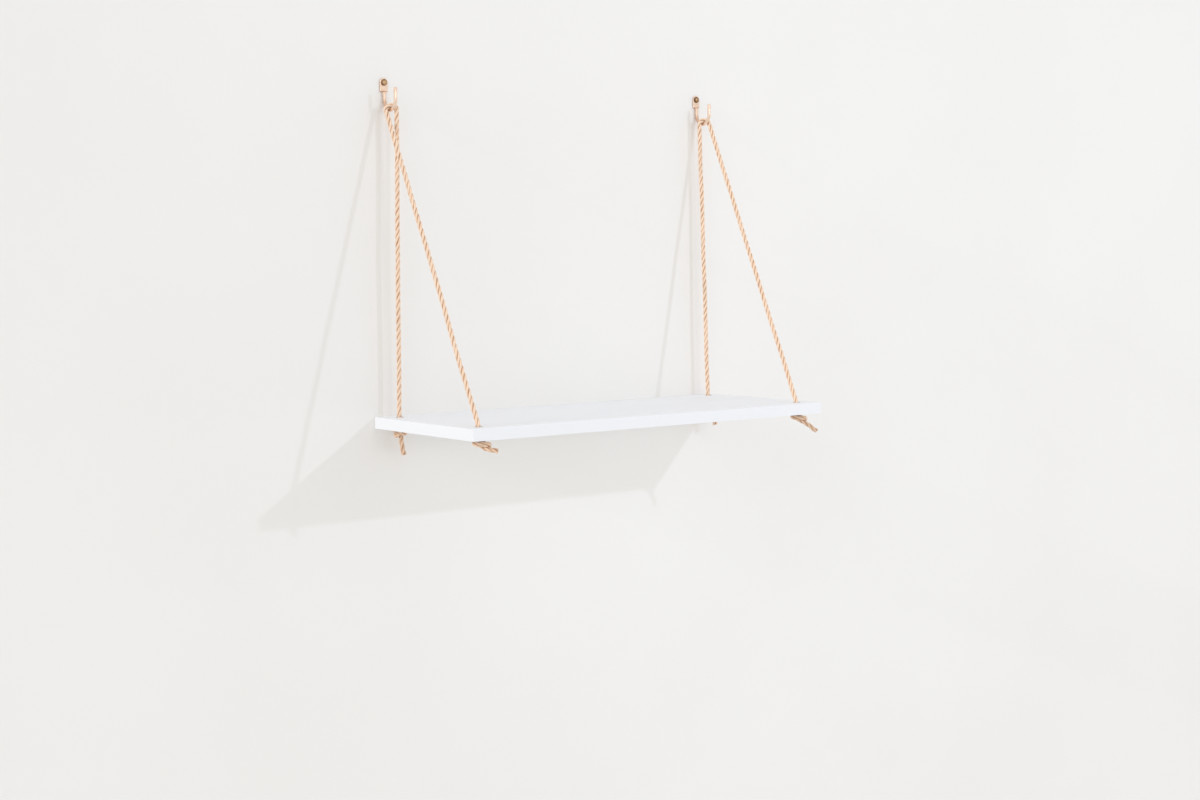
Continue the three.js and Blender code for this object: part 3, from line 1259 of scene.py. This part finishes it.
@dataclass(kw_only=True)
class Knot(RopeMaker):
    """Overhand knot drawn tight under one hole, with its cut tail. The rope comes down the
    hole's axis, loops round itself and leaves downwards beside the axis. The loop is in rope
    diameters from the knot's centre, and the tail in metres."""

    body: Optional[str] = "hung_board"
    row: Row
    turn: float
    tail: Sequence[Point]
    flare: float
    tight_across: float = 0.93
    tight_down: float = 0.82
    centre_level: float = -0.4773
    top_level: float = -0.4616
    lead_step: float = 0.003
    lead_points: int = 3
    loop: Sequence[Point] = (
        (0, 0, 0.7), (0, 0.4, -0.25), (0.65, 1.08, -0.62), (1.65, 1.08, -0.6),
        (2.28, 0.25, -0.35), (1.92, -0.72, 0), (0.95, -1.05, 0), (0, -1.05, 0),
        (-0.95, -0.6, 0.1), (-1.1, 0.4, 0.45), (-0.4, 1.15, 0.65), (0.7, 0.97, 0.62),
        (1.1, 0.2, 0), (1.08, -0.05, -0.85),
    )

    def route(self) -> list[Vector]:
        """The knot's line, from inside the hole to the tail's cut end.

        Returns:
            The points.
        """
        top = self.top_level - self.centre_level
        points = [Vector((0, 0, top - i * self.lead_step)) for i in range(self.lead_points)]
        across, down = self.diameter * self.tight_across, self.diameter * self.tight_down
        points += [Vector((x * across, y * across, z * down)) for x, y, z in self.loop]
        points += [Vector(p) for p in self.tail]
        place = Matrix.Translation((self.x, self.row.value, self.centre_level))
        move = place @ Matrix.Rotation(math.radians(self.turn), 4, "Z")
        return [move @ p for p in points]

    def build(self) -> Piece:
        """Lays the knotted rope end."""
        name = f"knot_end_{self.word}_{self.row.name.lower()}"
        return self.lay.build(name, self.route(), self.seed, self.flare)

    def nodes(self) -> list[str]:
        """The knot."""
        return [f"knot_{self.word}_{self.row.name.lower()}"]


# Board


@dataclass(kw_only=True)
class Board(Maker):
    """Flat board with eased edges and four rope holes."""

    finish: Finish = WhitePaint()
    slot: str = "board"
    body: Optional[str] = "hung_board"
    length: float = 0.600
    depth: float = 0.250
    thickness: float = 0.016
    drop: float = 0.455
    arris: float = 0.0008
    arris_steps: int = 4
    arris_profile: float = 0.5
    hole_x: float = HANG_X
    hole_radius: float = HOLE_RADIUS
    lip: float = 0.0006
    lip_steps: int = 4
    overrun: float = 0.002
    hole_sides: int = 48
    smooth_share: float = 0.1

    def build(self) -> Piece:
        """Makes the slab, rounds its edges and bores the holes.

        Returns:
            The board.
        """
        mesh = bpy.data.meshes.new("board_slab")
        form = bmesh.new()
        bmesh.ops.create_cube(form, size=1.0)
        middle = Vector((0, -self.depth / 2, -self.drop - self.thickness / 2))
        for vertex in form.verts:
            scaled = (vertex.co.x * self.length, vertex.co.y * self.depth,
                      vertex.co.z * self.thickness)
            vertex.co = middle + Vector(scaled)
        bmesh.ops.bevel(
            form, geom=form.edges[:], offset=self.arris, segments=self.arris_steps,
            profile=self.arris_profile, affect="EDGES",
        )
        form.to_mesh(mesh)
        form.free()
        slab = placed("board_painted", mesh)
        carve(slab, [
            self._drill(side.value * self.hole_x, row.value) for side in Side for row in Row
        ])
        for face in slab.data.polygons:
            face.use_smooth = face.area < self.length * self.thickness * self.smooth_share
        return slab

    def _drill(self, x: float, y: float) -> Piece:
        """A drill form with both ends flared to ease the hole's rims.

        Args:
            x: the hole's place along the board.
            y: its place across the board.

        Returns:
            The form.
        """
        low, high = -self.drop - self.thickness, -self.drop
        angles = [i / self.lip_steps * math.pi / 2 for i in range(self.lip_steps + 1)]
        flare = [
            (self.hole_radius + self.lip * (1 - math.sin(a)), self.lip * (1 - math.cos(a)))
            for a in angles
        ]
        profile = [(self.hole_radius + self.lip, low - self.overrun)]
        profile += [(r, low + d) for r, d in flare]
        profile += [(r, high - d) for r, d in reversed(flare)]
        profile += [(self.hole_radius + self.lip, high + self.overrun)]
        return turned("drill", profile, (x, y, 0), Axis.UP, self.hole_sides)

    def nodes(self) -> list[str]:
        """The board."""
        return ["board"]


# Wall fixings


@dataclass(kw_only=True)
class WireHook(SideMaker):
    """Copper wire hook: beaten round-topped plate, shoulders, shank, half-circle bend, tip."""

    finish: Finish = HookCopper()
    slot: str = "hook"
    body: Optional[str] = "wall_fixings"
    seed: int
    wire: float = 0.005
    plate_width: float = 0.0122
    plate_thickness: float = 0.0016
    plate_corner: float = 0.0005
    plate_tail: float = 0.0113
    neck: float = 0.0027
    shank: float = 0.0095
    reach: float = 0.032
    tip: float = 0.0145
    tip_round: float = 0.0012
    tip_turn: float = 0.96
    bore: float = 0.0024
    bore_ease: float = 0.0003
    bore_sides: int = 48
    overrun: float = 0.002
    quarter_points: int = 9
    crown_start: float = math.radians(84)
    crown_stations: int = 16
    plate_stations: int = 9
    neck_stations: int = 12
    bend_stations: int = 56
    tip_stations: int = 8
    beating: float = 0.00007
    beating_wave: float = 0.011
    beating_terms: int = 3
    beating_skew: float = 0.3
    first_beaten: int = 2
    sharp_degrees: float = 38.0

    def _station(
        self, y: float, z: float, bend: float, width: float, thickness: float, corner: float
    ) -> list[Point]:
        """A rounded rectangle set across the wire.

        Args:
            y: the centre's distance from the wall, negative outwards.
            z: the centre's height.
            bend: angle round the bend.
            width: size along the board.
            thickness: size across it.
            corner: corner radius.

        Returns:
            The points, round the wire.
        """
        points = []
        half = math.pi / (4 * self.quarter_points)
        for i in range(4 * self.quarter_points):
            angle = (2 * i + 1) * half
            c, s = math.cos(angle), math.sin(angle)
            across = math.copysign(width / 2 - corner, c) + corner * c
            inward = math.copysign(thickness / 2 - corner, s) + corner * s
            points.append((across, y - inward * math.cos(bend), z + inward * math.sin(bend)))
        return points

    def _plate(self) -> list[list[Point]]:
        """The plate's stations, from its crown to its shoulders.

        Returns:
            The rows of points.
        """
        spans = []
        for i in range(self.crown_stations):
            angle = self.crown_start * (1 - i / self.crown_stations)
            spans.append(
                (self.plate_width / 2 * math.sin(angle), self.plate_width * math.cos(angle)))
        for i in range(self.plate_stations + 1):
            spans.append((-self.plate_tail * i / self.plate_stations, self.plate_width))
        middle, flat = -self.plate_thickness / 2, (self.plate_thickness, self.plate_corner)
        return [self._station(middle, z, 0, width, *flat) for z, width in spans]

    def _wire(self) -> list[list[Point]]:
        """The wire's stations, from the shoulders round the bend to the tip.

        Returns:
            The rows of points.
        """
        radius = self.wire / 2
        rows = []
        for i in range(1, self.neck_stations + 1):
            share = i / self.neck_stations
            ease = share * share * (3 - 2 * share)
            thickness = self.plate_thickness + (self.wire - self.plate_thickness) * ease
            rows.append(self._station(
                -thickness / 2, -self.plate_tail - self.neck * share, 0,
                self.plate_width + (self.wire - self.plate_width) * ease, thickness,
                self.plate_corner + (radius - self.plate_corner) * ease))
        bend_radius = (self.reach - radius) / 2
        centre_y, centre_z = -radius - bend_radius, -self.plate_tail - self.neck - self.shank
        for i in range(self.bend_stations + 1):
            bend = i / self.bend_stations * math.pi
            rows.append(self._station(
                centre_y + bend_radius * math.cos(bend), centre_z - bend_radius * math.sin(bend),
                bend, self.wire, self.wire, radius))
        for i in range(self.tip_stations + 1):
            angle = i / self.tip_stations * math.pi / 2 * self.tip_turn
            r = radius - self.tip_round * (1 - math.cos(angle))
            z = centre_z + self.tip - self.tip_round * (1 - math.sin(angle))
            rows.append(self._station(-self.reach, z, math.pi, 2 * r, 2 * r, r))
        return rows

    def build(self) -> Piece:
        """Skins the stations, beats the plate and pierces the screw's hole.

        Returns:
            The hook.
        """
        rings = np.array(self._plate() + self._wire())
        plate_rows = self.crown_stations + self.plate_stations
        waves = [Ripple(self.seed + n, self.beating_wave, self.beating_terms) for n in range(2)]
        for row in rings[self.first_beaten:plate_rows]:
            for point in row:
                if point[1] < -self.plate_thickness / 2:
                    skewed = point[0] + self.beating_skew * point[2]
                    point[1] += self.beating * (waves[0].at(skewed) + waves[1].at(point[2]))
        piece = sleeved(f"wire_hook_{self.word}", rings, (self.x, 0, 0))
        eased, front = self.bore + self.bore_ease, -self.plate_thickness
        profile = [
            (eased + self.overrun, front - self.overrun),
            (eased, front), (self.bore, front + self.bore_ease),
            (self.bore, -self.bore_ease), (eased, 0.0), (eased + self.overrun, self.overrun),
        ]
        punch = turned("punch", profile, (self.x, 0, 0), Axis.INTO_WALL, self.bore_sides)
        carve(piece, [punch])
        crisp(piece, self.sharp_degrees)
        return piece

    def nodes(self) -> list[str]:
        """The hook."""
        return [f"hook_{self.word}"]


@dataclass(kw_only=True)
class RoundHeadScrew(SideMaker):
    """Round-head wood screw with a cross recess and a rolled thread."""

    finish: Finish = ScrewBrass()
    slot: str = "screw"
    body: Optional[str] = "wall_fixings"
    seat: float = -0.0019
    head_radius: float = 0.0045
    head_height: float = 0.0029
    head_rim: float = 0.0005
    head_edge: float = 0.00015
    pole: float = 0.02
    dome_steps: int = 14
    shank_radius: float = 0.0021
    core_radius: float = 0.0015
    end_radius: float = 0.00008
    length: float = 0.030
    taper: float = 0.005
    plain: float = 0.004
    run_in: float = 0.0015
    thread_pitch: float = 0.0014
    pitch_steps: int = 8
    crest_sharpness: float = 3.2
    recess_span: float = 0.0050
    recess_width: float = 0.0013
    recess_depth: float = 0.0015
    recess_over: float = 0.001
    recess_taper: float = 0.38
    recess_slope: float = 0.6
    turn: float = math.radians(32)
    sides: int = 48
    sharp_degrees: float = 40.0

    def build(self) -> Piece:
        """Turns the head, rolls the thread and stamps the recess.

        Returns:
            The screw.
        """
        top = self.seat - self.head_height
        dome = self.head_height - self.head_rim
        profile = []
        for i in range(self.dome_steps + 1):
            angle = max(self.pole, i / self.dome_steps * math.pi / 2)
            profile.append(
                (self.head_radius * math.sin(angle), top + dome * (1 - math.cos(angle))))
        profile += [(self.head_radius, self.seat - self.head_edge),
                    (self.head_radius - self.head_edge, self.seat),
                    (self.shank_radius, self.seat)]
        rings = [ring(radius, y, self.sides) for radius, y in profile]
        steps = math.ceil(self.length / (self.thread_pitch / self.pitch_steps))
        rings += [self._thread(self.length * i / steps) for i in range(1, steps)]
        rings.append(ring(self.end_radius, self.seat + self.length, self.sides))
        piece = sleeved(f"round_head_screw_{self.word}", rings, (self.x, 0, 0))
        carve(piece, [self._recess(top, angle) for angle in (0.0, math.pi / 2)])
        crisp(piece, self.sharp_degrees)
        return piece

    def _thread(self, along: float) -> list[Point]:
        """A ring of the threaded shank.

        Args:
            along: its distance from the head's seat.

        Returns:
            The points.
        """
        taper = min(1.0, (self.length - along) / self.taper)
        cut = min(1.0, max(0.0, (along - self.plain) / self.run_in))
        core = self.shank_radius + (self.core_radius - self.shank_radius) * cut
        points = []
        for j in range(self.sides):
            angle = 2 * math.pi * j / self.sides
            phase = (along / self.thread_pitch - j / self.sides) % 1.0
            crest = max(0.0, 1 - abs(phase - 0.5) * self.crest_sharpness)
            radius = core + (self.shank_radius - self.core_radius) * crest * cut
            radius = max(self.end_radius, radius * taper)
            points.append((radius * math.sin(angle), self.seat + along, radius * math.cos(angle)))
        return points

    def _recess(self, top: float, angle: float) -> Piece:
        """One tapering arm pair of the cross.

        Args:
            top: where the dome ends, outwards.
            angle: the arms' turn from the other pair.

        Returns:
            The form.
        """
        rings = []
        for depth, share in (
            (-self.recess_over, 1.0), (0.0, 1.0), (self.recess_depth, self.recess_taper)
        ):
            narrowed = 1 - self.recess_slope + self.recess_slope * share
            rings.append(section(
                top + depth, self.recess_span / 2 * share, self.recess_width / 2 * narrowed))
        spin = np.array(Matrix.Rotation(self.turn + angle, 3, "Y"))
        return sleeved("stamp", np.array(rings) @ spin.T, (self.x, 0, 0))

    def nodes(self) -> list[str]:
        """The screw."""
        return [f"hook_screw_{self.word}"]


@dataclass(kw_only=True)
class WallPlug(SideMaker):
    """Nylon wall plug: collar, rings of barbs and a slot that lets the far end spread. A barb
    is given by shares of its pitch and of its depth."""

    finish: Finish = Nylon()
    slot: str = "plug"
    body: Optional[str] = "wall_fixings"
    start: float = 0.0003
    radius: float = 0.0035
    bore: float = 0.0024
    length: float = 0.030
    collar: float = 0.003
    collar_edge: float = 0.0002
    barbs: int = 7
    barb_depth: float = 0.0005
    barb_steps: tuple[Span, ...] = ((0.12, 1.0), (0.5, 0.9), (0.96, 0.12), (1.0, 0.0))
    end_taper: float = 0.0003
    slot_width: float = 0.001
    slot_length: float = 0.019
    overrun: float = 0.001
    weld: float = 1e-7
    sides: int = 56
    sharp_degrees: float = 32.0

    def build(self) -> Piece:
        """Turns the plug with its barbs and saws the slot.

        Returns:
            The plug.
        """
        pitch = (self.length - self.collar) / self.barbs
        outside = [(self.radius - self.collar_edge, self.start),
                   (self.radius, self.start + self.collar_edge),
                   (self.radius, self.start + self.collar)]
        for i in range(self.barbs):
            at = self.start + self.collar + i * pitch
            outside += [(self.radius - self.barb_depth * deep, at + pitch * share)
                        for share, deep in self.barb_steps]
        end = self.start + self.length
        profile = [(self.bore, self.start), *outside[:-1], (self.radius - self.end_taper, end),
                   (self.bore, end), (self.bore, self.start)]
        piece = turned(
            f"nylon_plug_{self.word}", profile, (self.x, 0, 0), Axis.INTO_WALL, self.sides)
        self._close_bore(piece)
        carve(piece, [self._saw()])
        crisp(piece, self.sharp_degrees)
        return piece

    def _close_bore(self, piece: Piece) -> None:
        """Joins the bore's two ends into one closed skin.

        Args:
            piece: the turned plug.
        """
        form = bmesh.new()
        form.from_mesh(piece.data)
        caps = [face for face in form.faces if len(face.verts) > 4]
        bmesh.ops.delete(form, geom=caps, context="FACES_ONLY")
        bmesh.ops.remove_doubles(form, verts=form.verts[:], dist=self.weld)
        form.to_mesh(piece.data)
        form.free()

    def _saw(self) -> Piece:
        """The slot's form.

        Returns:
            The form.
        """
        end = self.start + self.length
        rings = [section(y, self.slot_width / 2, self.radius + self.overrun)
                 for y in (end - self.slot_length, end + self.overrun)]
        return sleeved("saw", rings, (self.x, 0, 0))

    def nodes(self) -> list[str]:
        """The plug."""
        return [f"wall_plug_{self.word}"]


# Studio


@dataclass(frozen=True)
class FarLamp:
    """A lamp far away: the way that it shines from, its spread in degrees, its strength
    and whether gloss shows it."""

    name: str
    way: Point
    spread: float
    strength: float
    glossy: bool


@dataclass
class Studio:
    """Camera, wall, floor, lamps and surroundings."""

    camera_place: Point = (-1.5052, -2.1505, -0.2468)
    yaw: float = math.radians(36.470)
    pitch: float = math.radians(4.412)
    roll: float = math.radians(-0.740)
    focal_pixels: float = 1790.7
    image_width: float = 1200.0
    sensor: float = 36.0
    sight: Span = (0.01, 50.0)
    wall_gap: float = 0.0005
    wall_width: float = 9.0
    wall_top: float = 3.0
    floor_level: float = -1.5
    floor_depth: float = 7.0
    wall: Plaster = Plaster(name="wall_plaster")
    floor: Plaster = Plaster(name="floor_plaster", relief=Relief((0.7, 0.3), 0.12, 0.0006))
    surroundings: float = 0.733
    horizon: float = 0.27
    horizon_power: float = 4.0
    lean: float = 0.24
    backdrop: Colour = (0.93, 0.925, 0.915)
    room: Colour = (0.42, 0.37, 0.33)
    room_way: Point = (0.30, -0.15, -0.94)
    room_seen: Mark = Mark(0.25, 0.95)
    far_lamps: tuple[FarLamp, ...] = (
        FarLamp("front", (0.0, -1.0, 0.13), 5.0, 0.15, True),
        FarLamp("window", (-0.8, -0.6, 0.30), 28.0, 0.16, True),
        FarLamp("side", (-1.0, -0.03, 0.37), 1.0, 1.14, False),
        FarLamp("bounce", (0.0, 0.0, -1.0), 20.0, 0.60, True),
    )
    key_place: Point = (1.30, -2.50, 0.65)
    key_size: float = 0.065
    key_power: float = 10.5
    key_colour: Colour = (0.74, 0.85, 1.04)
    target: Point = (0.0, -0.10, -0.30)

    def camera(self) -> None:
        """Sets the camera at the viewing angle."""
        data = bpy.data.cameras.new("camera")
        data.sensor_width = self.sensor
        data.lens = self.focal_pixels * self.sensor / self.image_width
        data.clip_start, data.clip_end = self.sight
        forward = Vector((
            math.sin(self.yaw) * math.cos(self.pitch),
            math.cos(self.yaw) * math.cos(self.pitch), -math.sin(self.pitch)))
        level = Vector((math.cos(self.yaw), -math.sin(self.yaw), 0))
        lift = level.cross(forward)
        right = level * math.cos(self.roll) + lift * math.sin(self.roll)
        up = lift * math.cos(self.roll) - level * math.sin(self.roll)
        turn = Matrix((right, up, -forward)).transposed().to_4x4()
        eye = placed("camera", data)
        eye.matrix_world = Matrix.Translation(self.camera_place) @ turn
        bpy.context.scene.camera = eye

    def _sheet(self, name: str, corners: Sequence[Point], finish: Plaster) -> None:
        """Adds a flat stage surface that lets lamps and soft light through to the part's back.

        Args:
            name: the surface's name.
            corners: its corners.
            finish: its plaster.
        """
        mesh = bpy.data.meshes.new(name)
        mesh.from_pydata(corners, [], [list(range(len(corners)))])
        mesh.materials.append(finish.material())
        made = placed(name, mesh)
        made.visible_diffuse = False
        made.visible_shadow = False

    def surfaces(self) -> None:
        """Makes the wall and the floor."""
        half, back, front = self.wall_width / 2, self.wall_gap, -self.floor_depth
        low, high = self.floor_level, self.wall_top
        wall = [(-half, back, low), (half, back, low), (half, back, high), (-half, back, high)]
        floor = [(-half, front, low), (half, front, low), (half, back, low), (-half, back, low)]
        self._sheet("wall", wall, self.wall)
        self._sheet("floor", floor, self.floor)

    def _key(self) -> None:
        """Adds the key, a round area lamp aimed at the shelf."""
        data = bpy.data.lights.new("key", "AREA")
        data.shape, data.size = "DISK", self.key_size
        data.energy, data.color = self.key_power, self.key_colour
        lamp = placed("key", data)
        aim = (Vector(self.target) - Vector(self.key_place)).to_track_quat("-Z", "Y")
        lamp.matrix_world = Matrix.Translation(self.key_place) @ aim.to_matrix().to_4x4()
        lamp.visible_glossy = False

    def _far(self, plan: FarLamp) -> None:
        """Adds a far lamp.

        Args:
            plan: what it is like.
        """
        data = bpy.data.lights.new(plan.name, "SUN")
        data.angle, data.energy = math.radians(plan.spread), plan.strength
        lamp = placed(plan.name, data)
        lamp.rotation_euler = Vector(plan.way).to_track_quat("Z", "Y").to_euler()
        lamp.visible_glossy = plan.glossy

    def _world(self) -> None:
        """Sets the surroundings: soft light, a white backdrop, and a dim room for gloss."""
        world = bpy.data.worlds.new("surroundings")
        bpy.context.scene.world = world
        world.use_nodes = True
        graph = Graph(world.node_tree)
        path = graph.node("ShaderNodeLightPath").outputs
        glossy = Signal(graph, path["Is Glossy Ray"])
        seen = Signal(graph, path["Is Camera Ray"]).most(glossy)
        way = graph.node("ShaderNodeTexCoord").outputs["Generated"]
        x, y, z = graph.axes(graph.stretched(way, self.room_way))
        dim = self.room_seen.on(x + y + z) * glossy
        across, _, height = graph.axes(way)
        band = (1 - height * height) ** self.horizon_power
        level = (band * self.horizon + self.surroundings) * (across * self.lean + 1)
        glow = graph.node("ShaderNodeBackground", inputs={
            "Color": (1.0, 1.0, 1.0), "Strength": level})
        plain = graph.node("ShaderNodeBackground", inputs={
            "Color": graph.mix(dim, self.backdrop, self.room), "Strength": 1.0})
        mixed = graph.node("ShaderNodeMixShader", inputs={
            0: seen, 1: glow.outputs[0], 2: plain.outputs[0]})
        graph.node("ShaderNodeOutputWorld", inputs={"Surface": mixed.outputs[0]})

    def build(self) -> None:
        """Makes the whole studio."""
        self.camera()
        self.surfaces()
        for plan in self.far_lamps:
            self._far(plan)
        self._key()
        self._world()
        bpy.context.scene.view_settings.view_transform = "Standard"


def main() -> None:
    logging.basicConfig(level=logging.INFO, format="%(message)s")
    Studio().build()
    ropes = [
        HungRope(side=Side.LEFT, seed=21, wall_side_row=Row.FRONT, tip_side_row=Row.BACK),
        HungRope(side=Side.RIGHT, seed=34, wall_side_row=Row.BACK, tip_side_row=Row.FRONT),
    ]
    knots = [
        Knot(side=Side.LEFT, row=Row.BACK, turn=54, seed=41, flare=0.24, tail=(
            (0.0066, -0.0006, -0.0095), (0.0063, -0.0018, -0.0185), (0.0060, -0.0036, -0.0300))),
        Knot(side=Side.LEFT, row=Row.FRONT, turn=-36, seed=42, flare=0.05, tail=(
            (0.0095, -0.0008, -0.0062), (0.0155, -0.0010, -0.0074), (0.0235, -0.0012, -0.0094))),
        Knot(side=Side.RIGHT, row=Row.BACK, turn=-20, seed=43, flare=0.34, tail=(
            (0.0070, -0.0003, -0.0094), (0.0088, 0.0, -0.0165), (0.0108, 0.0003, -0.0232))),
        Knot(side=Side.RIGHT, row=Row.FRONT, turn=-36, seed=44, flare=0.05, tail=(
            (0.0095, -0.0008, -0.0062), (0.0160, -0.0010, -0.0102), (0.0286, -0.0013, -0.0202))),
    ]
    laid = [rope.make() for rope in ropes]
    ends = [knot.make() for knot in knots]
    Board().make()
    for side, seed in ((Side.LEFT, 59), (Side.RIGHT, 61)):
        WireHook(side=side, seed=seed).make()
        RoundHeadScrew(side=side).make()
        WallPlug(side=side).make()
    for rope, piece in zip(ropes, laid):
        rope.declare(piece, [end for knot, end in zip(knots, ends) if knot.side is rope.side])


if __name__ == "__main__":
    main()
